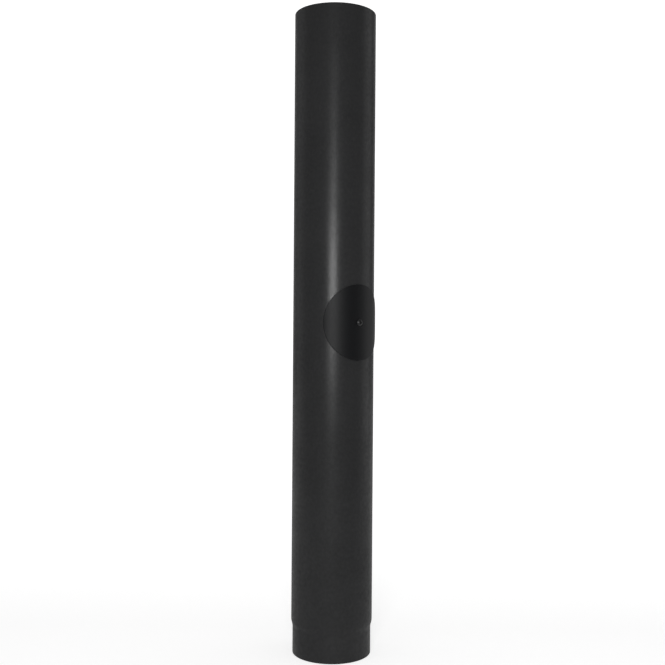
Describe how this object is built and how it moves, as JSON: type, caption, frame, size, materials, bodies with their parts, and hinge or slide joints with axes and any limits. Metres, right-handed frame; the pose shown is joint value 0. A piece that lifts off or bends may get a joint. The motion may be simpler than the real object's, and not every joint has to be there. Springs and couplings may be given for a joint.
{
  "type": "stove pipe with inspection door",
  "caption": "Straight steel stove pipe, plain at the top and drawn in to a spigot below, with a round curved inspection door held by a central screw and an inner clamp bar.",
  "frame": {"origin": "centre of the spigot's end plane, at the lower end of the pipe", "axes": "+Z along the pipe from the spigot to the plain upper end, -Y out of the inspection door, +X to the right of someone who faces the door"},
  "size_m": [0.127, 0.1323, 1],
  "materials": {
    "pipe_paint": "matt",
    "cover_paint": "satin",
    "gasket_fibre": "matt",
    "screw_steel": "satin",
    "bar_steel": "satin"
  },
  "bodies": {
    "pipe": {"pipe_shell": "pipe_paint", "clamp_bar": "bar_steel", "weld_nut": "bar_steel"},
    "cover": {"cover_plate": "cover_paint", "cover_gasket": "gasket_fibre"},
    "screw": {"cover_screw": "screw_steel"}
  },
  "joints": [
    {"name": "cover_lift", "type": "slide", "parent": "pipe", "child": "cover", "axis": [0, -1, 0], "range_m": [0, 0.011]},
    {"name": "screw_turn", "type": "hinge", "parent": "cover", "child": "screw", "pos_m": [0, -0.0656, 0.5175], "axis": [0, -1, 0], "range_deg": [0, 3960]}
  ],
  "couplings": [
    {"joint": "screw_turn", "follows": "cover_lift", "rad_per_m": 6283.2}
  ]
}
